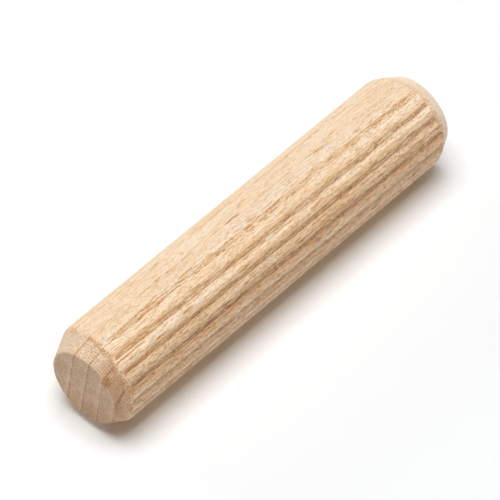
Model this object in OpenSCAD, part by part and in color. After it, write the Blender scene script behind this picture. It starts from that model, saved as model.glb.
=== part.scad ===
// Fluted wooden dowel pin. It stands on its foot, with the grain and the flutes along Z.

/* [Pin] */
// Diameter over the ridges and the smooth side
pin_d = 8; // [6:0.1:12]
// Length from end to end
pin_l = 36.5; // [20:0.5:60]

/* [Flutes] */
// Even places for a flute round the whole shank
flute_places = 20; // [16:1:24]
// Places without a flute, side by side, which make the smooth side
smooth_places = 5; // [3:1:7]
// Direction of the middle of the smooth side, in degrees from +X
smooth_a = 309.2; // [0:0.1:359.9]
// Depth of a flute below the pin's surface
flute_depth = 0.14; // [0.06:0.01:0.22]
// Depth of the two flutes beside the smooth side, as a share of a full flute
edge_flute_share = 0.7; // [0.4:0.05:1]
// Width of the slope that falls from the smooth side to the flute beside it, in degrees
edge_slope_a = 6.5; // [3:0.5:7]
// How far one way from the middle between its flutes a ridge has its crown, in degrees
crown_a = 2; // [0:0.5:4]
// How far the other way it has its shoulder, in degrees
shoulder_a = 3; // [1:0.5:6]
// Depth of the shoulder below the pin's surface
shoulder_depth = 0.03; // [0.02:0.01:0.06]

/* [Ends] */
// How far the edge of an end face lies inside the shank's surface
point_depth = 0.9; // [0.5:0.05:1.5]
// Slope of a pointed end where it meets the end face, in degrees from the axis
point_a = 32; // [20:1:45]
// Radius of the slight bulge along a pointed end
point_r = 12; // [8:0.5:30]
// Radius of the worn edge round an end face
face_edge_r = 0.15; // [0.05:0.01:0.3]
// How far the foot was pointed off centre along X
foot_off_x = -0.11; // [-0.2:0.01:0.2]
// How far the foot was pointed off centre along Y
foot_off_y = -0.16; // [-0.2:0.01:0.2]
// How far the top was pointed off centre along X
top_off_x = -0.15; // [-0.2:0.01:0.2]
// How far the top was pointed off centre along Y
top_off_y = -0.01; // [-0.2:0.01:0.2]

/* [Hidden] */
$fn = 96;

pin_r = pin_d / 2;

// Flutes and ridges. Ridge 1 stands past the first flute beside the smooth side.
flutes = flute_places - smooth_places;
step_a = 360 / flute_places;
smooth_half_a = (smooth_places + 1) / 2 * step_a - edge_slope_a;
first_flute_a = smooth_a + (smooth_places + 1) / 2 * step_a;
edge_depth = flute_depth * edge_flute_share;

// Pointed ends. Their side is an arc of point_r, whose centre is arc_x, arc_z from the end face's.
face_r = pin_r - point_depth;
arc_x = face_r - point_r * cos(point_a);
arc_z = point_r * sin(point_a);
clear_r = pin_r + point_depth;
worn_x = arc_x + sqrt(pow(point_r - face_edge_r, 2) - pow(arc_z - face_edge_r, 2));
worn_a = atan2(face_edge_r - arc_z, worn_x - arc_x);

function polar(r, a) = [r * cos(a), r * sin(a)];

// The part of the section that kept the rod's own round surface.
module smooth_side() {
    intersection() {
        circle(pin_r);
        polygon([
            [0, 0],
            polar(2 * pin_r, smooth_a - smooth_half_a),
            polar(2 * pin_r, smooth_a),
            polar(2 * pin_r, smooth_a + smooth_half_a)
        ]);
    }
}

// The fluted part, from one edge of the smooth side round to the other. Its last corner lies
// within the smooth side.
module fluted_side() {
    polygon([
        polar(pin_r, smooth_a + smooth_half_a),
        polar(pin_r - edge_depth, first_flute_a),
        for (i = [1 : flutes - 1], corner = [0 : 2])
            let (middle_a = first_flute_a + (i - 0.5) * step_a)
            corner == 0 ? polar(pin_r - shoulder_depth, middle_a - shoulder_a)
            : corner == 1 ? polar(pin_r, middle_a + crown_a)
            : polar(
                pin_r - (i == flutes - 1 ? edge_depth : flute_depth),
                middle_a + step_a / 2
            ),
        polar(pin_r, smooth_a - smooth_half_a),
        polar(pin_r / 2, smooth_a)
    ]);
}

// Section across the grain.
module shank_section() {
    smooth_side();
    fluted_side();
}

// Half outline of the room that a pointed end leaves, up from its end face.
module end_outline() {
    difference() {
        intersection() {
            translate([arc_x, arc_z]) circle(point_r);
            square([clear_r, arc_z]);
        }
        // The sharp corner at the end face, as far as the worn edge's two tangent points.
        polygon([
            [worn_x, -face_edge_r],
            [worn_x, 0],
            [arc_x, arc_z] + polar(point_r, worn_a),
            [clear_r, arc_z + point_r * sin(worn_a)],
            [clear_r, -face_edge_r]
        ]);
    }
    translate([worn_x, face_edge_r]) circle(face_edge_r);
    translate([0, arc_z]) square([clear_r, pin_l - arc_z]);
}

module end_form() {
    rotate_extrude() end_outline();
}

module dowel_pin() {
    color("burlywood")
    intersection() {
        linear_extrude(pin_l) shank_section();
        translate([foot_off_x, foot_off_y, 0]) end_form();
        translate([top_off_x, top_off_y, pin_l]) mirror([0, 0, 1]) end_form();
    }
}

dowel_pin();
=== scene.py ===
"""A fluted beech dowel pin, dressed over its solid.

Lengths are in metres, or in millimetres where that is said."""

import math

import bmesh
import bpy
from mathutils import Matrix, Vector


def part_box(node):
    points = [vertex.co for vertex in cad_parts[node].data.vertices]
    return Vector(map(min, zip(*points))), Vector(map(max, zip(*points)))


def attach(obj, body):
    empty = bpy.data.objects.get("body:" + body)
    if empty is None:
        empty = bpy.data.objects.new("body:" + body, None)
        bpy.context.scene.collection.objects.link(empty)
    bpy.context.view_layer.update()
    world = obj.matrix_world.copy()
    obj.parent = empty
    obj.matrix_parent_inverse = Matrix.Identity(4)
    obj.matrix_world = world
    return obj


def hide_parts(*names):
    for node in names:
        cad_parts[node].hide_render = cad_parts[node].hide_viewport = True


MM = 0.001

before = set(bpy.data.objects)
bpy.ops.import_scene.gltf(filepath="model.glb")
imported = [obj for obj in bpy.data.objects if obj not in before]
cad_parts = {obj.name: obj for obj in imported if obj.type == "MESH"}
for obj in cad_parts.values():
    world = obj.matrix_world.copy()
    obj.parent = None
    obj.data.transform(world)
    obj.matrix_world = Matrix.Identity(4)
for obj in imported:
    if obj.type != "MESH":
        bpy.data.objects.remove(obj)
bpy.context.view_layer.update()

# ---------------------------------------------------------------------------------------------
# Sizes of the pin
# ---------------------------------------------------------------------------------------------
PIN = "dowel_pin"
pin_low, pin_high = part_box(PIN)
PIN_RADIUS = -pin_low.y
PIN_LENGTH = pin_high.z - pin_low.z

# Flutes: the shank has FLUTE_PLACES even places, and SMOOTH_PLACES of them side by side have none.
# SMOOTH_MIDDLE is in degrees from +X. The other angles count from it, clockwise seen from the top.
FLUTE_PLACES = 20
SMOOTH_PLACES = 5
SMOOTH_MIDDLE = 309.2
FLUTES = FLUTE_PLACES - SMOOTH_PLACES
PLACE = 360 / FLUTE_PLACES
FIRST_FLUTE = (SMOOTH_PLACES + 1) / 2 * PLACE
# Width of the slope that falls from the smooth side to the flute beside it.
EDGE_SLOPE = 6.5
SMOOTH_HALF = FIRST_FLUTE - EDGE_SLOPE
FLUTE_DEPTH = 0.14 * MM
EDGE_FLUTE_DEPTH = 0.7 * FLUTE_DEPTH
# A ridge has its crown before the middle between its flutes, and a shoulder past it.
CROWN = 2
SHOULDER = 3
SHOULDER_DEPTH = 0.03 * MM
# Turn of the flutes from end to end, in degrees.
FLUTE_TWIST = 3

# Pointed ends: a bulging cone, a little off centre, round a flat face. Its side is an arc round
# ARC_X and ARC_Z, counted from the middle of the face.
POINT_DEPTH = 0.9 * MM
POINT_SLOPE = math.radians(32)
POINT_BULGE = 12 * MM
FOOT_SHIFT = Vector((-0.11, -0.16, 0)) * MM
TOP_SHIFT = Vector((-0.15, -0.01, 0)) * MM
FACE_RADIUS = PIN_RADIUS - POINT_DEPTH
ARC_X = FACE_RADIUS - POINT_BULGE * math.cos(POINT_SLOPE)
ARC_Z = POINT_BULGE * math.sin(POINT_SLOPE)
# Bevels: the worn edge round a face, and the rim where a cone meets the shank.
FACE_EDGE = 0.083 * MM
RIM_EDGE = 0.16 * MM

# Mesh faces: round the pin, along the shank, along a pointed end and across a bevel, and the
# steps of a whole turn of the cone's arc.
COLUMNS = 360
ROWS = 196
POINT_ROWS = 10
BEVEL_ROWS = 3
ARC_STEPS = 720
# Faces that meet at less than this are shaded as one surface.
SHADED_AS_ONE = math.radians(26)


def fluted_corners():
    """Corners of the fluted side: angle from the middle of the smooth side, and radius."""
    corners = [(SMOOTH_HALF, PIN_RADIUS), (FIRST_FLUTE, PIN_RADIUS - EDGE_FLUTE_DEPTH)]
    for ridge in range(1, FLUTES):
        middle_angle = FIRST_FLUTE + (ridge - 0.5) * PLACE
        depth = EDGE_FLUTE_DEPTH if ridge == FLUTES - 1 else FLUTE_DEPTH
        corners.append((middle_angle - CROWN, PIN_RADIUS))
        corners.append((middle_angle + SHOULDER, PIN_RADIUS - SHOULDER_DEPTH))
        corners.append((middle_angle + PLACE / 2, PIN_RADIUS - depth))
    corners.append((360 - SMOOTH_HALF, PIN_RADIUS))
    return corners


CORNERS = fluted_corners()


def section_radius(angle):
    """Distance from the axis to the fluted surface, at an angle in degrees from +X."""
    past = (SMOOTH_MIDDLE - angle) % 360
    for (start, near), (stop, far) in zip(CORNERS, CORNERS[1:]):
        if start <= past <= stop:
            rise = near * math.sin(math.radians(past - start))
            fall = far * math.sin(math.radians(stop - past))
            return near * far * math.sin(math.radians(stop - start)) / (rise + fall)
    return PIN_RADIUS


# ---------------------------------------------------------------------------------------------
# Hand tools
# ---------------------------------------------------------------------------------------------
def pick(kind, test):
    """Selects only the vertices, edges or faces of the open mesh that pass the test."""
    bpy.ops.mesh.select_mode(type=kind)
    bpy.ops.mesh.select_all(action="DESELECT")
    mesh = bmesh.from_edit_mesh(bpy.context.edit_object.data)
    for part in {"VERT": mesh.verts, "EDGE": mesh.edges, "FACE": mesh.faces}[kind]:
        if test(part):
            part.select_set(True)
    bmesh.update_edit_mesh(bpy.context.edit_object.data)


def middle(edge):
    return (edge.verts[0].co + edge.verts[1].co) / 2


def open_mesh(piece):
    bpy.ops.object.select_all(action="DESELECT")
    piece.select_set(True)
    bpy.context.view_layer.objects.active = piece
    bpy.ops.object.mode_set(mode="EDIT")


def close_mesh():
    bpy.ops.object.mode_set(mode="OBJECT")


def apply_modifier(piece, kind, **settings):
    """Adds a modifier with these settings and applies it."""
    bpy.ops.object.select_all(action="DESELECT")
    piece.select_set(True)
    bpy.context.view_layer.objects.active = piece
    modifier = piece.modifiers.new(kind.lower(), kind)
    for name, value in settings.items():
        setattr(modifier, name, value)
    bpy.ops.object.modifier_apply(modifier=modifier.name)


# ---------------------------------------------------------------------------------------------
# Node helpers
# ---------------------------------------------------------------------------------------------
def join(tree, value, socket):
    """Sets a socket to a value, or joins it to another node's output."""
    if isinstance(value, bpy.types.NodeSocket):
        tree.links.new(value, socket)
    else:
        socket.default_value = value


def node(tree, kind, inputs=None, **settings):
    """Adds a node, with its settings and its inputs by name or number."""
    made = tree.nodes.new(kind)
    for name, value in settings.items():
        setattr(made, name, value)
    for name, value in (inputs or {}).items():
        join(tree, value, made.inputs[name])
    return made


def maths(tree, operation, *values):
    return node(tree, "ShaderNodeMath", dict(enumerate(values)), operation=operation).outputs[0]


def vector(tree, operation, *values):
    made = node(tree, "ShaderNodeVectorMath", dict(enumerate(values)), operation=operation)
    return made.outputs["Value" if operation in ("DOT_PRODUCT", "LENGTH") else "Vector"]


def ramp(tree, value, low, high, start=0.0, end=1.0):
    """A smooth step of value, from start at low to end at high."""
    inputs = {"Value": value, "From Min": low, "From Max": high, "To Min": start, "To Max": end}
    made = node(tree, "ShaderNodeMapRange", inputs, interpolation_type="SMOOTHSTEP")
    return made.outputs["Result"]


def band(tree, value, centre, half, soft):
    """A stripe of value round centre, so wide to each side and so soft."""
    away = maths(tree, "ABSOLUTE", maths(tree, "SUBTRACT", value, centre))
    return ramp(tree, away, half + soft, half)


def noise(tree, place, scales, detail):
    """Noise with so many waves a millimetre along X, Y and Z. Place is in millimetres."""
    scaled = vector(tree, "MULTIPLY", place, scales)
    inputs = {"Vector": scaled, "Scale": 1.0, "Detail": detail}
    return node(tree, "ShaderNodeTexNoise", inputs).outputs[0]


def mixed(tree, share, first, second, blend="MIX"):
    made = node(tree, "ShaderNodeMix", data_type="RGBA", blend_type=blend)
    for number, value in ((0, share), (6, first), (7, second)):
        join(tree, value, made.inputs[number])
    return made.outputs[2]


def tint(tree, share, colour, shade):
    """Multiplies a colour by a shade, as far as share says."""
    return mixed(tree, share, colour, shade, "MULTIPLY")


def group(name, inputs, outputs, kind="ShaderNodeTree"):
    """Starts a node group with named sockets, and gives it with its input and output nodes."""
    tree = bpy.data.node_groups.new(name, kind)
    for title, socket in inputs.items():
        tree.interface.new_socket(title, in_out="INPUT", socket_type="NodeSocket" + socket)
    for title, socket in outputs.items():
        tree.interface.new_socket(title, in_out="OUTPUT", socket_type="NodeSocket" + socket)
    return tree, tree.nodes.new("NodeGroupInput").outputs, tree.nodes.new("NodeGroupOutput").inputs


def placed(tree, group_tree, **inputs):
    """Places a node group in a tree and joins its inputs."""
    made = tree.nodes.new("ShaderNodeGroup")
    made.node_tree = group_tree
    for name, value in inputs.items():
        join(tree, value, made.inputs[name.capitalize()])
    return made.outputs


# ---------------------------------------------------------------------------------------------
# Wood relief
# ---------------------------------------------------------------------------------------------
# Slow drift and quicker wander of the flutes, in radians.
DRIFT = 0.010
WANDER = 0.045
# Depth of the torn fibre in one groove and of the fibres everywhere, in millimetres.
TORN_RELIEF = 0.018
FIBRE_RELIEF = 0.006
# The torn strip: its direction, a little short of the first flute, and the cosines of the angles
# from it where the tearing starts and is full.
TORN_ANGLE = math.radians(SMOOTH_MIDDLE - FIRST_FLUTE + 2.5)
TORN_START = math.cos(math.radians(5))
TORN_FULL = math.cos(math.radians(3))
# Where the relief starts and is full, in millimetres out from a face's edge.
RELIEF_FADE = (0.15, 0.7)


def wood_relief():
    """Twists the flutes, lets their edges wander and roughens the surface, inwards only."""
    shape = {"Geometry": "Geometry"}
    tree, given, out = group("wood_relief", shape, shape, "GeometryNodeTree")
    position = node(tree, "GeometryNodeInputPosition").outputs[0]
    place = vector(tree, "MULTIPLY", position, (1 / MM,) * 3)
    x, y, z = node(tree, "ShaderNodeSeparateXYZ", {0: place}).outputs
    angle = maths(tree, "ARCTAN2", y, x)
    radius = vector(tree, "LENGTH", vector(tree, "MULTIPLY", place, (1, 1, 0)))

    along = maths(tree, "SUBTRACT", maths(tree, "DIVIDE", z, PIN_LENGTH / MM), 0.5)
    turn = maths(tree, "MULTIPLY", along, math.radians(FLUTE_TWIST))
    drift = maths(tree, "SUBTRACT", noise(tree, place, (0.25, 0.25, 0.14), detail=2), 0.5)
    turn = maths(tree, "MULTIPLY_ADD", drift, DRIFT, turn)
    wander = maths(tree, "SUBTRACT", noise(tree, place, (1.6, 1.6, 0.45), detail=2), 0.5)
    turn = maths(tree, "MULTIPLY_ADD", wander, WANDER, turn)
    turning = {"Vector": position, "Angle": turn}
    turned = node(tree, "ShaderNodeVectorRotate", turning, rotation_type="Z_AXIS").outputs[0]

    from_groove = maths(tree, "COSINE", maths(tree, "SUBTRACT", angle, TORN_ANGLE))
    torn = ramp(tree, from_groove, TORN_START, TORN_FULL)
    tears = noise(tree, place, (4.5, 4.5, 0.6), detail=2)
    fibres = noise(tree, place, (5.5, 5.5, 0.5), detail=2)
    depth = maths(tree, "MULTIPLY", tears, maths(tree, "MULTIPLY", torn, TORN_RELIEF))
    depth = maths(tree, "MULTIPLY_ADD", fibres, FIBRE_RELIEF, depth)
    fade_start, fade_end = RELIEF_FADE
    side = ramp(tree, radius, FACE_RADIUS / MM + fade_start, FACE_RADIUS / MM + fade_end)
    depth = maths(tree, "MULTIPLY", depth, side)
    inwards = maths(tree, "SUBTRACT", 1, maths(tree, "DIVIDE", depth, radius))
    scales = node(tree, "ShaderNodeCombineXYZ", {0: inwards, 1: inwards, 2: 1.0}).outputs[0]
    pressed = vector(tree, "MULTIPLY", turned, scales)
    moved = node(tree, "GeometryNodeSetPosition", {"Geometry": given[0], "Position": pressed})
    tree.links.new(moved.outputs[0], out[0])
    return tree


# ---------------------------------------------------------------------------------------------
# The pin
# ---------------------------------------------------------------------------------------------
def fluted_tube():
    """A ring pressed into the fluted section and drawn up to the pin's length."""
    bpy.ops.object.select_all(action="DESELECT")
    bpy.ops.mesh.primitive_circle_add(vertices=COLUMNS, radius=PIN_RADIUS)
    pin = bpy.context.object
    open_mesh(pin)
    quarter_column = math.cos(math.tau / COLUMNS / 4)
    for column in range(COLUMNS):
        angle = 360 / COLUMNS * column
        press = section_radius(angle) / PIN_RADIUS
        if press == 1:
            continue
        way = Vector((math.cos(math.radians(angle)), math.sin(math.radians(angle)), 0))
        pick("VERT", lambda vert: vert.co.normalized().dot(way) > quarter_column)
        bpy.ops.transform.resize(value=(press, press, 1), center_override=(0, 0, 0))
    bpy.ops.mesh.select_mode(type="EDGE")
    bpy.ops.mesh.select_all(action="SELECT")
    bpy.ops.mesh.extrude_region_move(TRANSFORM_OT_translate={"value": (0, 0, PIN_LENGTH)})
    close_mesh()
    return pin


def pointing_tool(end_z, way, shift):
    """The hollow cone that a pointed end fits. Way is +1 at the foot and -1 at the top."""
    bpy.ops.object.select_all(action="DESELECT")
    bpy.ops.mesh.primitive_circle_add(
        vertices=ARC_STEPS,
        radius=POINT_BULGE,
        rotation=(math.pi / 2, 0, 0),
        location=(ARC_X, 0, end_z + way * ARC_Z),
    )
    tool = bpy.context.object
    bpy.ops.object.transform_apply()
    open_mesh(tool)
    # Only the stretch of the circle beside the pin's end is kept.
    inner = 0.8 * FACE_RADIUS
    reach = 0.6 * ARC_Z
    pick("VERT", lambda vert: vert.co.x < inner or way * (vert.co.z - end_z) > reach)
    bpy.ops.mesh.delete(type="VERT")
    bpy.ops.mesh.select_all(action="SELECT")
    bpy.ops.mesh.spin(steps=COLUMNS, angle=math.tau, center=(0, 0, 0), axis=(0, 0, 1))
    close_mesh()
    tool.location = shift
    bpy.context.view_layer.update()
    return tool


def fit_to_tool(pin, tool, test):
    """Slides the vertices that pass the test along Z until they lie on the tool."""
    chosen = pin.vertex_groups.new(name="point")
    chosen.add([vert.index for vert in pin.data.vertices if test(vert.co)], 1, "REPLACE")
    apply_modifier(
        pin,
        "SHRINKWRAP",
        target=tool,
        vertex_group=chosen.name,
        wrap_method="PROJECT",
        use_project_z=True,
        use_negative_direction=True,
        use_positive_direction=True,
    )
    pin.vertex_groups.clear()


def point_end(pin, end_z, way, shift):
    """Closes one end of the tube with a pointed side and a flat face with a worn edge."""
    # Heights that tell this end, its face and its rim apart, and lengths that tell the edges round
    # the pin from those along it.
    near = PIN_LENGTH / 4
    at_face = 0.1 * MM
    past_face = 0.5 * MM
    short = 0.3 * MM
    long = 0.6 * MM

    def height(point):
        return way * (point.z - end_z)

    def is_open(edge):
        return len(edge.link_faces) < 2 and height(middle(edge)) < near

    # The end of the tube is drawn back to the cone, and joined to the face.
    tool = pointing_tool(end_z, way, shift)
    fit_to_tool(pin, tool, lambda point: height(point) < near)
    open_mesh(pin)
    bpy.ops.mesh.select_all(action="DESELECT")
    face_middle = shift + Vector((0, 0, end_z))
    bpy.ops.mesh.primitive_circle_add(vertices=COLUMNS, radius=FACE_RADIUS, location=face_middle)
    pick("EDGE", is_open)
    bpy.ops.mesh.bridge_edge_loops()
    pick("EDGE", lambda edge: is_open(edge) and height(middle(edge)) < at_face)
    bpy.ops.mesh.edge_face_add()
    bpy.ops.mesh.normals_make_consistent(inside=False)

    def is_round(edge, low, high):
        return edge.calc_length() < short and low < height(middle(edge)) < high

    def is_face(face):
        return len(face.verts) == COLUMNS and height(face.calc_center_median()) < near

    # Worn edges.
    pick("EDGE", lambda edge: is_round(edge, -at_face, at_face))
    bpy.ops.mesh.bevel(offset=FACE_EDGE, segments=BEVEL_ROWS, affect="EDGES")
    pick("EDGE", lambda edge: is_round(edge, past_face, near))
    bpy.ops.mesh.bevel(offset=RIM_EDGE, segments=BEVEL_ROWS, affect="EDGES")

    # Rows along the cone, and a grid on the face.
    pick("EDGE", lambda edge: long < edge.calc_length() < near and height(middle(edge)) < near)
    bpy.ops.mesh.subdivide(number_cuts=POINT_ROWS - 1)
    pick("FACE", is_face)
    bpy.ops.mesh.delete(type="ONLY_FACE")
    pick("EDGE", is_open)
    bpy.ops.mesh.fill_grid(span=COLUMNS // 4)
    close_mesh()
    bpy.data.objects.remove(tool)


def rows_along(pin):
    """Cuts the shank's long faces into rows, in two steps, because one step makes at most 100."""
    open_mesh(pin)
    pick("EDGE", lambda edge: edge.calc_length() > PIN_LENGTH / 2)
    bpy.ops.mesh.subdivide(number_cuts=1)
    pick("EDGE", lambda edge: edge.calc_length() > PIN_LENGTH / 4)
    bpy.ops.mesh.subdivide(number_cuts=ROWS // 2 - 1)
    bpy.ops.mesh.select_all(action="SELECT")
    bpy.ops.mesh.normals_make_consistent(inside=False)
    close_mesh()


def make_pin():
    pin = fluted_tube()
    pin.name = "beech_pin"
    point_end(pin, 0, 1, FOOT_SHIFT)
    point_end(pin, PIN_LENGTH, -1, TOP_SHIFT)
    rows_along(pin)
    apply_modifier(pin, "NODES", node_group=wood_relief())
    bpy.ops.object.shade_smooth_by_angle(angle=SHADED_AS_ONE)
    return pin


# ---------------------------------------------------------------------------------------------
# Beech
# ---------------------------------------------------------------------------------------------
LONG_GRAIN = (1.0, 0.82, 0.63, 1)
END_GRAIN = (0.905, 0.66, 0.48, 1)
POINT_GRAIN = (0.90, 0.72, 0.55, 1)
# Painted light: the foot cone is paler than the top cone, as the lamps reach it less.
FOOT_GRAIN_PAINTED_LIGHT = (1.0, 0.80, 0.61, 1)
FINE_SHADE = (0.75, 0.59, 0.40, 1)
PORE_SHADE = (0.60, 0.46, 0.34, 1)
RAY_SHADE = (0.74, 0.54, 0.38, 1)
RING_SHADE = (0.76, 0.60, 0.44, 1)
WARM_SHADE = (0.97, 0.90, 0.80, 1)
# Painted shade: the smooth side, which faces the lamps, is made greyer and darker to even out its
# light.
SMOOTH_SIDE_PAINTED_SHADE = (0.905, 0.905, 0.905, 1)
# Painted shade on the far flanks, which face away from the lamps.
PAINTED_FLANK_SHADE = (0.86, 0.77, 0.69, 1)
# Painted shade on the steep groove walls, which face away from the lamps.
PAINTED_WALL_SHADE = (0.76, 0.62, 0.46, 1)
# Painted shade in the groove creases.
PAINTED_CREASE_SHADE = (0.56, 0.44, 0.34, 1)
# Torn fibres: their own colour, and partly painted shade of their fine relief.
TORN_FIBRE_AND_SHADE = (0.86, 0.73, 0.58, 1)
# Painted shade in one deeper groove.
PAINTED_GROOVE_SHADE = (0.93, 0.87, 0.80, 1)
# Browner wood towards -X, and there partly painted shade; on the flat face only brown.
BROWN_AND_PAINTED_SHADE = (0.86, 0.79, 0.70, 1)
# The top cone towards -X: browner wood, and partly painted shade.
CONE_BROWN_AND_SHADE = (0.70, 0.575, 0.485, 1)
LATE_SHADE = (0.88, 0.87, 0.86, 1)
GREY_SHADE = (0.875, 0.88, 0.885, 1)
STAIN_SHADE = (0.80, 0.60, 0.44, 1)

# Each pair below says where something starts and where it is full.
# A rise is how far the surface faces up or down, from 0 to 1. CONE_RADIUS is in millimetres from
# the axis, and noise frays it by up to half of CONE_FRINGE.
SHANK_RISE = (0.12, 0.04)
CONE_RISE = (0.2, 0.42)
CONE_RADIUS = (3.95, 3.65)
CONE_FRINGE = 0.6
FACE_RISE = (0.8, 0.95)

# In millimetres along X or Y. A FAR pair is for the side of the shade that is nearest to -X.
# Painted shade on the smooth side.
SMOOTH_SIDE_SHADE_X = (-1.0, 0.2)
STREAKS_X = (0.5, -1.5)
# Browner wood, partly painted shade.
BROWN_AND_SHADE_X = (-2.5, -2.7)
BROWN_AND_SHADE_FAR_X = (-3.9, -3.7)
BROWN_AND_SHADE_Y = (1.3, 0.7)
# Painted shade on the far flanks.
PAINTED_FLANK_X = (-3.4, -3.7)
PAINTED_FLANK_Y = (1.5, 1.3)
# The top cone's browner wood, partly painted shade.
CONE_BROWN_AND_SHADE_X = (-0.8, -2.8)
CONE_BROWN_AND_SHADE_FAR_X = (-3.6, -3.3)
GREY_X = (0.2, 1.2)
CHATTER_X = (1.2, 0.3)
CHATTER_FAR_X = (-2.9, -2.3)
CONE_RINGS_X = (2.2, 1.8)
FACE_RINGS_X = (2.3, 1.9)
FACE_RINGS_FAR_X = (-1.3, -0.8)
FACE_BROWN_Y = (0.0, 2.8)

# Rougher fibres, and the roughest. In millimetres along X.
ROUGHER_X = (1.0, -1.0)
ROUGHEST_X = (-2.6, -3.6)

# Painted shade on a groove's steep wall and in its crease: their depth in millimetres, and how far
# they face to the side, from -1 to 1.
PAINTED_WALL_DEPTH = (0.0, 0.10)
PAINTED_WALL_SIDE = (0.215, 0.25)
PAINTED_CREASE_DEPTH = (0.105, 0.145)
PAINTED_CREASE_SIDE = (-0.2, 0.1)

# Two grooves with a shade of their own: one of torn fibres, darker partly as painted shade, and
# one deeper, with painted shade only. Where they are at the foot, half their width and their soft
# edge, in degrees. Degrees count from -Y towards -X.
TORN_AND_SHADED_GROOVE = (12.8, 1.9, 1.3)
SHADED_DEEP_GROOVE = (29.0, 2.0, 2.0)

# The stain beside the top face: its middle, and its reach from there, in millimetres.
STAIN = (-2.35, -2.2, 36.4)
STAIN_REACH = (0.5, 0.15)

# Growth rings: their pitch in millimetres, how much they lean from the YZ plane, where one of them
# starts, in millimetres along X, and how far they waver, in pitches.
RING_PITCH = 1.45
RING_LEAN = 0.16
RING_START = 1.24
RING_WAVER = 0.12

# Spindles: how far they reach, in cells, how many cells fit in one cell's width along X, Y and Z,
# and the width of a cell for rays and for vessels, in millimetres.
SPINDLE_REACH = 0.17
CELL_SHAPE = (1.0, 1.0, 0.14)
RAY_CELL = 0.5
VESSEL_CELL = 0.28

# Pitch of the chatter marks that the pointing tool left on the top cone, in millimetres.
CHATTER_PITCH = 0.17

# Darkness of the broken rim between the top cone and the shank.
RIM_LEVEL = 3.0

BUMP_HEIGHT = 0.007 * MM

# Marks of rays and torn fibres, mostly where the surface faces away from the paper. For each:
# degrees from -Y towards -X, millimetres along the pin, half its width in degrees and half its
# length in millimetres. Noise bends them by up to half of MARK_BEND degrees round the pin and half
# of MARK_SHIFT millimetres along it.
MARK_BEND = 5.0
MARK_SHIFT = 1.2
MARKS = (
    (-9.5, 27.9, 1.2, 0.45),
    (-9.0, 19.8, 1.5, 0.60),
    (-16, 18.7, 0.9, 0.45),
    (-26, 11.3, 1.0, 0.45),
    (-32, 9.0, 1.0, 0.5),
    (-39, 7.5, 1.0, 0.4),
    (-6.5, 10.8, 1.0, 0.4),
    (-13, 8.7, 1.1, 0.5),
    (-16.5, 24.8, 0.8, 0.35),
    (-29, 26.5, 0.9, 0.45),
    (-30, 29.0, 0.9, 0.4),
    (7.0, 30.5, 1.3, 1.1),
    (7.0, 26.0, 1.3, 1.0),
    (7.5, 19.0, 1.2, 0.6),
    (13, 3.8, 1.2, 0.6),
    (38.7, 27.9, 1.7, 0.75),
    (42.5, 22.1, 1.3, 0.6),
    (39, 33.9, 1.4, 0.5),
    (41.5, 31.0, 1.3, 0.7),
    (39, 14.0, 1.8, 0.9),
    (45, 8.2, 1.2, 0.6),
    (46, 3.9, 1.2, 0.5),
    (59, 30.5, 1.2, 0.6),
    (73, 15.4, 1.3, 0.55),
    (87, 28.4, 1.4, 0.6),
)


def surface_group():
    """Where a point is on the pin, in millimetres: its Place, its Depth below the round surface
    and its height Along the pin, with its angle Around in degrees from -Y towards -X. End is 1 on
    a pointed end and Face is 1 on its flat face. Side is how far the surface faces the way that
    Around turns."""
    outputs = ("End", "Face", "Depth", "Side", "Around", "Along")
    sockets = {"Place": "Vector", **{name: "Float" for name in outputs}}
    tree, _, out = group("pin_surface", {}, sockets)
    coordinates = node(tree, "ShaderNodeTexCoord").outputs
    place = vector(tree, "MULTIPLY", coordinates["Object"], (1 / MM,) * 3)
    normal = coordinates["Normal"]
    z = node(tree, "ShaderNodeSeparateXYZ", {0: place}).outputs[2]
    rise = maths(tree, "ABSOLUTE", node(tree, "ShaderNodeSeparateXYZ", {0: normal}).outputs[2])
    flat = vector(tree, "MULTIPLY", place, (1, 1, 0))
    onward = vector(tree, "NORMALIZE", vector(tree, "CROSS_PRODUCT", flat, (0, 0, 1)))
    fringe = maths(tree, "SUBTRACT", noise(tree, place, (7, 7, 1.5), detail=2), 0.5)
    radius = maths(tree, "MULTIPLY_ADD", fringe, CONE_FRINGE, vector(tree, "LENGTH", flat))
    end = maths(tree, "MULTIPLY", ramp(tree, rise, *CONE_RISE), ramp(tree, radius, *CONE_RADIUS))
    depth = maths(tree, "SUBTRACT", PIN_RADIUS / MM, vector(tree, "LENGTH", flat))
    depth = maths(tree, "MULTIPLY", depth, ramp(tree, rise, *SHANK_RISE))
    back = vector(tree, "MULTIPLY", flat, (-1, -1, 0))
    left, ahead, _ = node(tree, "ShaderNodeSeparateXYZ", {0: back}).outputs
    around = maths(tree, "ARCTAN2", left, ahead)
    tree.links.new(place, out["Place"])
    tree.links.new(end, out["End"])
    tree.links.new(ramp(tree, rise, *FACE_RISE), out["Face"])
    tree.links.new(depth, out["Depth"])
    tree.links.new(vector(tree, "DOT_PRODUCT", normal, onward), out["Side"])
    tree.links.new(maths(tree, "DEGREES", around), out["Around"])
    tree.links.new(z, out["Along"])
    return tree


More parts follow.
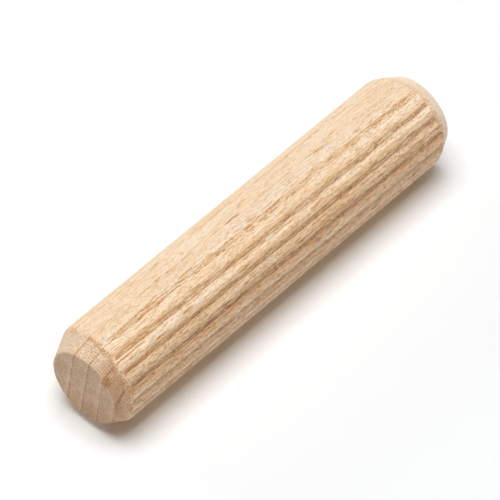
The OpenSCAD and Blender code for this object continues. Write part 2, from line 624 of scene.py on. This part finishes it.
def ring_group():
    """Growth rings: a thin late line, and the pale early wood that starts beside it."""
    outputs = {"Line": "Float", "Early": "Float"}
    tree, given, out = group("growth_rings", {"Place": "Vector"}, outputs)
    place = given["Place"]
    x, y, _ = node(tree, "ShaderNodeSeparateXYZ", {0: place}).outputs
    level = maths(tree, "SUBTRACT", x, maths(tree, "MULTIPLY", y, RING_LEAN))
    level = maths(tree, "DIVIDE", maths(tree, "SUBTRACT", level, RING_START), RING_PITCH)
    waver = maths(tree, "SUBTRACT", noise(tree, place, (0.5, 0.5, 0.05), detail=3), 0.5)
    level = maths(tree, "MULTIPLY_ADD", waver, RING_WAVER, level)
    part = maths(tree, "FRACT", level)
    late = ramp(tree, part, 0.88, 1.0)
    line = maths(tree, "MAXIMUM", late, ramp(tree, part, 0.04, 0.0))
    early = maths(tree, "MULTIPLY", ramp(tree, part, 0.4, 0.05), ramp(tree, part, 0.0, 0.04))
    tree.links.new(line, out["Line"])
    tree.links.new(early, out["Early"])
    return tree


def spindle_group():
    """Short spindles along the grain, one in each cell, for rays and vessels."""
    inputs = {"Place": "Vector", "Reach": "Float", "Cell": "Float"}
    tree, given, out = group("spindles", inputs, {"Mask": "Float"})
    place = given["Place"]
    wave = node(tree, "ShaderNodeTexNoise", {"Vector": place, "Scale": 0.8}).outputs["Color"]
    bent = vector(tree, "ADD", place, vector(tree, "MULTIPLY", wave, (0.2, 0.2, 0.0)))
    spread = node(tree, "ShaderNodeCombineXYZ")
    for number, share in enumerate(CELL_SHAPE):
        join(tree, maths(tree, "DIVIDE", share, given["Cell"]), spread.inputs[number])
    cells = vector(tree, "MULTIPLY", bent, spread.outputs[0])
    cell = node(tree, "ShaderNodeTexVoronoi", {"Vector": cells, "Scale": 1.0})
    random = node(tree, "ShaderNodeSeparateColor", {0: cell.outputs["Color"]}).outputs[0]
    reach = maths(tree, "MULTIPLY", given["Reach"], ramp(tree, random, 0.2, 1.0, 0.3, 1.2))
    near = maths(tree, "DIVIDE", cell.outputs["Distance"], reach)
    tree.links.new(ramp(tree, near, 1.0, 0.5), out["Mask"])
    return tree


def at_top(tree, along):
    """1 in the upper half of the pin."""
    return maths(tree, "GREATER_THAN", along, PIN_LENGTH / MM / 2)


def mark_group():
    """One spindle-shaped mark, on a map with degrees across and millimetres along."""
    inputs = {"Map": "Vector", "Spot": "Vector", "Reach": "Vector"}
    tree, given, out = group("mark", inputs, {"Mask": "Float"})
    away = vector(tree, "SUBTRACT", given["Map"], given["Spot"])
    away = vector(tree, "DIVIDE", away, given["Reach"])
    tree.links.new(ramp(tree, vector(tree, "LENGTH", away), 1.1, 0.6), out["Mask"])
    return tree


def marked(tree, surface):
    """Where the marks are, bent and broken up by noise."""
    place = surface["Place"]
    bend = maths(tree, "SUBTRACT", noise(tree, place, (2.2, 2.2, 1.3), detail=3), 0.5)
    around = maths(tree, "MULTIPLY_ADD", bend, MARK_BEND, surface["Around"])
    shift = maths(tree, "SUBTRACT", noise(tree, place, (5.0, 5.0, 0.8), detail=2), 0.5)
    along = maths(tree, "MULTIPLY_ADD", shift, MARK_SHIFT, surface["Along"])
    spread = node(tree, "ShaderNodeCombineXYZ", {0: around, 1: along}).outputs[0]
    mark = mark_group()
    mask = 0
    for angle, height, half_width, half_length in MARKS:
        reach = (half_width, half_length, 1)
        spot = placed(tree, mark, map=spread, spot=(angle, height, 0), reach=reach)
        mask = maths(tree, "MAXIMUM", mask, spot["Mask"])
    broken = ramp(tree, noise(tree, place, (8.0, 8.0, 0.8), detail=2), 0.26, 0.42)
    return maths(tree, "MULTIPLY", mask, broken)


def fibre_group():
    """Fine fibres along the grain: dark dashes and threads, specks and a few open pores."""
    outputs = {"Fine": "Float", "Pores": "Float", "Height": "Float"}
    tree, given, out = group("fibres", {"Place": "Vector", "Rough": "Float"}, outputs)
    place = given["Place"]
    rough = given["Rough"]
    dashes = ramp(tree, noise(tree, place, (15, 15, 2.8), detail=1), 0.45, 0.56)
    threads = ramp(tree, noise(tree, place, (12, 12, 0.8), detail=1), 0.45, 0.58)
    specks = ramp(tree, noise(tree, place, (12, 12, 10), detail=0), 0.40, 0.60)
    pores = ramp(tree, noise(tree, place, (18, 18, 2.2), detail=1), 0.58, 0.68)
    fine = maths(tree, "MULTIPLY_ADD", threads, 0.35, maths(tree, "MULTIPLY", dashes, 0.35))
    fine = maths(tree, "MULTIPLY_ADD", specks, 0.25, fine)
    share = maths(tree, "MULTIPLY_ADD", maths(tree, "SUBTRACT", fine, 0.55), rough, 0.36)
    pores = maths(tree, "MULTIPLY", pores, rough)
    tree.links.new(maths(tree, "MAXIMUM", share, 0.0), out["Fine"])
    tree.links.new(maths(tree, "MULTIPLY", pores, 0.28), out["Pores"])
    height = maths(tree, "MULTIPLY_ADD", fine, rough, pores)
    tree.links.new(maths(tree, "MULTIPLY", height, -1.0), out["Height"])
    return tree


def shank_colour(tree, surface, rings, rays, vessels, fine, pores):
    """Long grain, browner towards -X, partly as painted shade, with painted shade in the grooves.
    """
    place = surface["Place"]
    side = surface["Side"]
    x, y, _ = node(tree, "ShaderNodeSeparateXYZ", {0: place}).outputs
    broad = ramp(tree, noise(tree, place, (1.3, 1.3, 0.12), detail=3), 0.35, 0.65)
    colour = tint(tree, broad, LONG_GRAIN, WARM_SHADE)
    # Painted shade: the smooth side that faces the lamps is made darker.
    colour = tint(tree, ramp(tree, x, *SMOOTH_SIDE_SHADE_X), colour, SMOOTH_SIDE_PAINTED_SHADE)

    # Fibres, pores and vessels.
    streaks = ramp(tree, noise(tree, place, (9.0, 9.0, 0.45), detail=2), 0.45, 0.66)
    streaks = maths(tree, "MULTIPLY", streaks, ramp(tree, x, *STREAKS_X, 0.15, 0.3))
    colour = tint(tree, streaks, colour, FINE_SHADE)
    colour = tint(tree, fine, colour, FINE_SHADE)
    colour = tint(tree, pores, colour, PORE_SHADE)
    colour = tint(tree, maths(tree, "MULTIPLY", vessels["Mask"], 0.55), colour, PORE_SHADE)

    # Growth rings and rays.
    broken = ramp(tree, noise(tree, place, (3.0, 3.0, 0.35), detail=2), 0.45, 0.6)
    line = maths(tree, "MULTIPLY", rings["Line"], broken)
    colour = tint(tree, maths(tree, "MULTIPLY", line, 0.7), colour, RING_SHADE)
    near_line = ramp(tree, noise(tree, place, (7, 7, 1.0), detail=2), 0.56, 0.66)
    colour = tint(tree, maths(tree, "MULTIPLY", near_line, rings["Line"]), colour, RAY_SHADE)
    colour = tint(tree, maths(tree, "MULTIPLY", rays["Mask"], 0.6), colour, RAY_SHADE)
    colour = tint(tree, marked(tree, surface), colour, RAY_SHADE)

    # The browner ridges towards -X, partly painted shade of that side, and painted shade on the
    # far flanks that face away from the lamps.
    brown_and_shade = maths(tree, "MULTIPLY", ramp(tree, x, *BROWN_AND_SHADE_X), ramp(tree, x, *BROWN_AND_SHADE_FAR_X, 0.2, 1.0))
    brown_and_shade = maths(tree, "MULTIPLY", brown_and_shade, ramp(tree, y, *BROWN_AND_SHADE_Y))
    colour = tint(tree, brown_and_shade, colour, BROWN_AND_PAINTED_SHADE)
    flank_shade_mask = maths(tree, "MULTIPLY", ramp(tree, side, 0.0, -0.08), ramp(tree, x, *PAINTED_FLANK_X))
    flank_shade_mask = maths(tree, "MULTIPLY", flank_shade_mask, ramp(tree, y, *PAINTED_FLANK_Y))
    colour = tint(tree, flank_shade_mask, colour, PAINTED_FLANK_SHADE)

    # The grooves: painted shade on their steep walls and creases, and two with a shade of their
    # own.
    twist = FLUTE_TWIST * MM / PIN_LENGTH
    drifted = maths(tree, "MULTIPLY_ADD", surface["Along"], twist, surface["Around"])
    ragged = maths(tree, "MULTIPLY_ADD", fine, 0.03, surface["Depth"])
    wall_shade_mask = maths(tree, "MULTIPLY", ramp(tree, side, *PAINTED_WALL_SIDE), ramp(tree, ragged, *PAINTED_WALL_DEPTH))
    colour = tint(tree, wall_shade_mask, colour, PAINTED_WALL_SHADE)
    # Painted shade in one deeper groove.
    colour = tint(tree, band(tree, drifted, *SHADED_DEEP_GROOVE), colour, PAINTED_GROOVE_SHADE)
    # Painted shade in the creases, at the bottom of each groove.
    crease_shade_mask = ramp(tree, ragged, *PAINTED_CREASE_DEPTH)
    crease_shade_mask = maths(tree, "MULTIPLY", crease_shade_mask, ramp(tree, side, *PAINTED_CREASE_SIDE))
    colour = tint(tree, crease_shade_mask, colour, PAINTED_CREASE_SHADE)
    # Torn fibres in one groove, darker for their colour and partly as painted shade of their
    # relief.
    torn = band(tree, drifted, *TORN_AND_SHADED_GROOVE)
    tears = ramp(tree, noise(tree, place, (8.0, 8.0, 0.45), detail=3), 0.40, 0.58)
    return tint(tree, maths(tree, "MULTIPLY", torn, tears), colour, TORN_FIBRE_AND_SHADE)


def face_colour(tree, place, rings):
    """End grain on the flat faces: pores, and rings that start pale beside a dark line."""
    pores = ramp(tree, noise(tree, place, (12.0, 12.0, 3.0), detail=1), 0.42, 0.60)
    colour = tint(tree, maths(tree, "MULTIPLY", pores, 0.8), END_GRAIN, FINE_SHADE)
    cloud = ramp(tree, noise(tree, place, (0.9, 0.9, 0.5), detail=3), 0.35, 0.65)
    colour = tint(tree, cloud, colour, LATE_SHADE)
    colour = tint(tree, maths(tree, "SUBTRACT", 1.0, rings["Early"]), colour, LATE_SHADE)
    x, y, _ = node(tree, "ShaderNodeSeparateXYZ", {0: place}).outputs
    colour = tint(tree, ramp(tree, y, *FACE_BROWN_Y), colour, BROWN_AND_PAINTED_SHADE)
    line = maths(tree, "MULTIPLY", rings["Line"], ramp(tree, x, *FACE_RINGS_X, 0.0, 0.75))
    line = maths(tree, "MULTIPLY", line, ramp(tree, x, *FACE_RINGS_FAR_X, 0.55, 1.0))
    return tint(tree, line, colour, RING_SHADE)


def point_colour(tree, surface, rings, fine):
    """The cut cones: short grain, and at the top brown chatter marks."""
    place = surface["Place"]
    x, _, z = node(tree, "ShaderNodeSeparateXYZ", {0: place}).outputs

    # Chatter marks, in patches.
    wave = maths(tree, "MULTIPLY_ADD", noise(tree, place, (1.5, 1.5, 1.5), detail=2), 0.2, z)
    wave = maths(tree, "MULTIPLY", wave, math.tau / CHATTER_PITCH)
    chatter = ramp(tree, maths(tree, "SINE", wave), -0.1, 0.8)
    patches = ramp(tree, noise(tree, place, (2.2, 2.2, 2.2), detail=3), 0.40, 0.52)
    chatter = maths(tree, "MULTIPLY", chatter, patches)
    chatter = maths(tree, "MULTIPLY", chatter, ramp(tree, x, *CHATTER_X))
    chatter = maths(tree, "MULTIPLY", chatter, ramp(tree, x, *CHATTER_FAR_X, 0.45, 0.8))

    # The top cone, browner and partly painted shade towards -X, and greyer towards +X.
    cells = ramp(tree, noise(tree, place, (11.0, 11.0, 5.0), detail=2), 0.44, 0.58)
    colour = tint(tree, maths(tree, "MULTIPLY", cells, 0.6), POINT_GRAIN, FINE_SHADE)
    colour = tint(tree, chatter, colour, FINE_SHADE)
    colour = tint(tree, maths(tree, "MULTIPLY", fine, 0.6), colour, FINE_SHADE)
    cone_brown_and_shade = maths(tree, "MULTIPLY", ramp(tree, x, *CONE_BROWN_AND_SHADE_X), ramp(tree, x, *CONE_BROWN_AND_SHADE_FAR_X, 0.5, 1.0))
    colour = tint(tree, cone_brown_and_shade, colour, CONE_BROWN_AND_SHADE)
    colour = tint(tree, ramp(tree, x, *GREY_X), colour, GREY_SHADE)
    line = maths(tree, "MULTIPLY", rings["Line"], ramp(tree, x, *CONE_RINGS_X))
    colour = tint(tree, line, colour, RING_SHADE)

    # Painted light: the foot cone is paler than the top cone.
    foot = tint(tree, maths(tree, "MULTIPLY", fine, 0.5), FOOT_GRAIN_PAINTED_LIGHT, FINE_SHADE)
    return mixed(tree, at_top(tree, z), foot, colour)


def end_colour(tree, surface, rings, fine):
    """The flat faces, the cones round them and the stain where they meet."""
    place = surface["Place"]
    point = point_colour(tree, surface, rings, fine)
    colour = mixed(tree, surface["Face"], point, face_colour(tree, place, rings))
    away = vector(tree, "SUBTRACT", place, STAIN)
    blur = maths(tree, "SUBTRACT", noise(tree, place, (3.5, 3.5, 3.5), detail=3), 0.5)
    reach = maths(tree, "MULTIPLY_ADD", blur, 0.8, vector(tree, "LENGTH", away))
    return tint(tree, ramp(tree, reach, *STAIN_REACH), colour, STAIN_SHADE)


def beech_material():
    material = bpy.data.materials.new("beech")
    material.use_nodes = True
    tree = material.node_tree
    tree.nodes.clear()
    surface = placed(tree, surface_group())
    place = surface["Place"]
    end = surface["End"]
    rings = placed(tree, ring_group(), place=place)
    spindles = spindle_group()
    rays = placed(tree, spindles, place=place, reach=SPINDLE_REACH, cell=RAY_CELL)
    vessels = placed(tree, spindles, place=place, reach=SPINDLE_REACH, cell=VESSEL_CELL)
    x = node(tree, "ShaderNodeSeparateXYZ", {0: place}).outputs[0]
    rough = ramp(tree, x, *ROUGHER_X, 0.95, 1.9)
    rough = maths(tree, "ADD", rough, ramp(tree, x, *ROUGHEST_X, 0.0, 2.0))
    fibres = placed(tree, fibre_group(), place=place, rough=rough)

    shank = shank_colour(tree, surface, rings, rays, vessels, fibres["Fine"], fibres["Pores"])
    ends = end_colour(tree, surface, rings, fibres["Fine"])
    colour = mixed(tree, end, shank, ends)
    rim = maths(tree, "MULTIPLY", end, maths(tree, "SUBTRACT", 1.0, end))
    uneven = ramp(tree, noise(tree, place, (1.2, 1.2, 1.2), detail=1), 0.42, 0.58, 0.25, 1.2)
    rim = maths(tree, "MULTIPLY", rim, uneven)
    rim = maths(tree, "MULTIPLY", rim, at_top(tree, surface["Along"]))
    colour = tint(tree, maths(tree, "MULTIPLY", rim, RIM_LEVEL), colour, FINE_SHADE)

    relief = {"Height": fibres["Height"], "Strength": 1.0, "Distance": BUMP_HEIGHT}
    bump = node(tree, "ShaderNodeBump", relief)
    matt = ramp(tree, fibres["Fine"], 0.0, 0.6, 0.55, 0.68)
    matt = maths(tree, "MULTIPLY_ADD", end, 0.1, matt)
    shader = node(tree, "ShaderNodeBsdfPrincipled", {"Base Color": colour, "Roughness": matt})
    join(tree, bump.outputs[0], shader.inputs["Normal"])
    output = node(tree, "ShaderNodeOutputMaterial")
    tree.links.new(shader.outputs[0], output.inputs[0])
    return material


# ---------------------------------------------------------------------------------------------
# Camera, paper and lights
# ---------------------------------------------------------------------------------------------
PIN_MIDDLE = Vector((0, 0, PIN_LENGTH / 2))

# The camera: which way it lies from the pin, which way is up in its view, its lens and its sensor
# in millimetres, and how far the pin's middle is off the middle of the view.
CAMERA_BACK = Vector((-0.4426, -0.7532, 0.4866)).normalized()
CAMERA_UP = Vector((0.5069, -0.6578, -0.5572)).normalized()
CAMERA_DISTANCE = 346.1 * MM
CAMERA_LENS = 337.8
CAMERA_SENSOR = 36
CAMERA_CLIP = 10 * MM
AIM_ACROSS = 0.25 * MM
AIM_UP = 0.31 * MM

# The paper's colour for the light that it throws back, and as it is seen.
PAPER_SIZE = 0.6
PAPER_BOUNCE = (0.92, 0.92, 0.92, 1)
PAPER_WHITE = (0.968, 0.98, 0.988, 1)

# Light from all round, as a share of white.
WORLD_LIGHT = 0.03

# Square lamps, all as far from the pin's middle. For each: its turn from -Y towards -X and its
# lean to the top, in degrees, its size, and how bright it makes a white face turned to it.
LAMP_DISTANCE = 0.4
LAMPS = {
    "window": (-75, 5, 0.15, 0.27),
    "overhead": (-0.5, 3, 0.285, 1.12),
    "side": (90, 5, 0.15, 0.14),
    "back": (180, 5, 0.15, 0.07),
}


def make_camera():
    across = CAMERA_UP.cross(CAMERA_BACK).normalized()
    up = CAMERA_BACK.cross(across)
    camera = bpy.data.objects.new("camera", bpy.data.cameras.new("camera"))
    bpy.context.scene.collection.objects.link(camera)
    camera.data.lens = CAMERA_LENS
    camera.data.sensor_width = CAMERA_SENSOR
    camera.data.clip_start = CAMERA_CLIP
    aim = PIN_MIDDLE - across * AIM_ACROSS - up * AIM_UP
    camera.location = aim + CAMERA_BACK * CAMERA_DISTANCE
    camera.rotation_mode = "QUATERNION"
    camera.rotation_quaternion = Matrix((across, up, CAMERA_BACK)).transposed().to_quaternion()
    bpy.context.scene.camera = camera


def seen_directly(tree):
    """1 for the camera's rays and those that show it a reflection, 0 for rays that carry light."""
    rays = node(tree, "ShaderNodeLightPath").outputs
    seen = maths(tree, "ADD", rays["Is Camera Ray"], rays["Is Glossy Ray"])
    return maths(tree, "MINIMUM", maths(tree, "ADD", seen, rays["Is Transmission Ray"]), 1.0)


def paper_material():
    """White to the camera, a little darker to the pin, and clear from behind."""
    material = bpy.data.materials.new("paper")
    material.use_nodes = True
    tree = material.node_tree
    tree.nodes.clear()
    shade = mixed(tree, seen_directly(tree), PAPER_BOUNCE, PAPER_WHITE)
    matt = node(tree, "ShaderNodeBsdfDiffuse", {"Color": shade}).outputs[0]
    clear = node(tree, "ShaderNodeBsdfTransparent").outputs[0]
    behind = node(tree, "ShaderNodeNewGeometry").outputs["Backfacing"]
    shadow = node(tree, "ShaderNodeLightPath").outputs["Is Shadow Ray"]
    through = maths(tree, "MAXIMUM", behind, shadow)
    sheet = node(tree, "ShaderNodeMixShader", {0: through, 1: matt, 2: clear}).outputs[0]
    node(tree, "ShaderNodeOutputMaterial", {0: sheet})
    return material


def make_paper():
    """The pale sheet that the pin's side touches."""
    bpy.ops.object.select_all(action="DESELECT")
    touching = (0, PIN_RADIUS, PIN_LENGTH / 2)
    upright = (math.pi / 2, 0, 0)
    bpy.ops.mesh.primitive_plane_add(size=PAPER_SIZE, location=touching, rotation=upright)
    paper = bpy.context.object
    paper.name = "paper"
    paper.data.materials.append(paper_material())


def make_world():
    """A little even light on the pin, and plain white to the camera and in reflections."""
    world = bpy.data.worlds.new("studio")
    bpy.context.scene.world = world
    world.use_nodes = True
    tree = world.node_tree
    tree.nodes.clear()
    strength = maths(tree, "MULTIPLY_ADD", seen_directly(tree), 1 - WORLD_LIGHT, WORLD_LIGHT)
    white = {"Color": (1, 1, 1, 1), "Strength": strength}
    sky = node(tree, "ShaderNodeBackground", white).outputs[0]
    node(tree, "ShaderNodeOutputWorld", {0: sky})


def make_lamp(name, around, lean, size, level):
    turn = math.radians(around)
    tip = math.radians(lean)
    sideways = Vector((-math.sin(turn), -math.cos(turn), 0))
    way = sideways * math.cos(tip) + Vector((0, 0, math.sin(tip)))
    lamp = bpy.data.lights.new(name, "AREA")
    lamp.shape = "SQUARE"
    lamp.size = size
    lamp.energy = level * math.pi**2 * LAMP_DISTANCE**2
    light = bpy.data.objects.new(name, lamp)
    bpy.context.scene.collection.objects.link(light)
    light.location = PIN_MIDDLE + way * LAMP_DISTANCE
    light.rotation_mode = "QUATERNION"
    light.rotation_quaternion = way.to_track_quat("Z", "Y")


pin = make_pin()
pin.data.materials.clear()
pin.data.materials.append(beech_material())
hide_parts(PIN)
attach(pin, "root")
make_camera()
make_paper()
make_world()
for lamp_name, settings in LAMPS.items():
    make_lamp(lamp_name, *settings)

bpy.context.scene.view_settings.view_transform = "Standard"
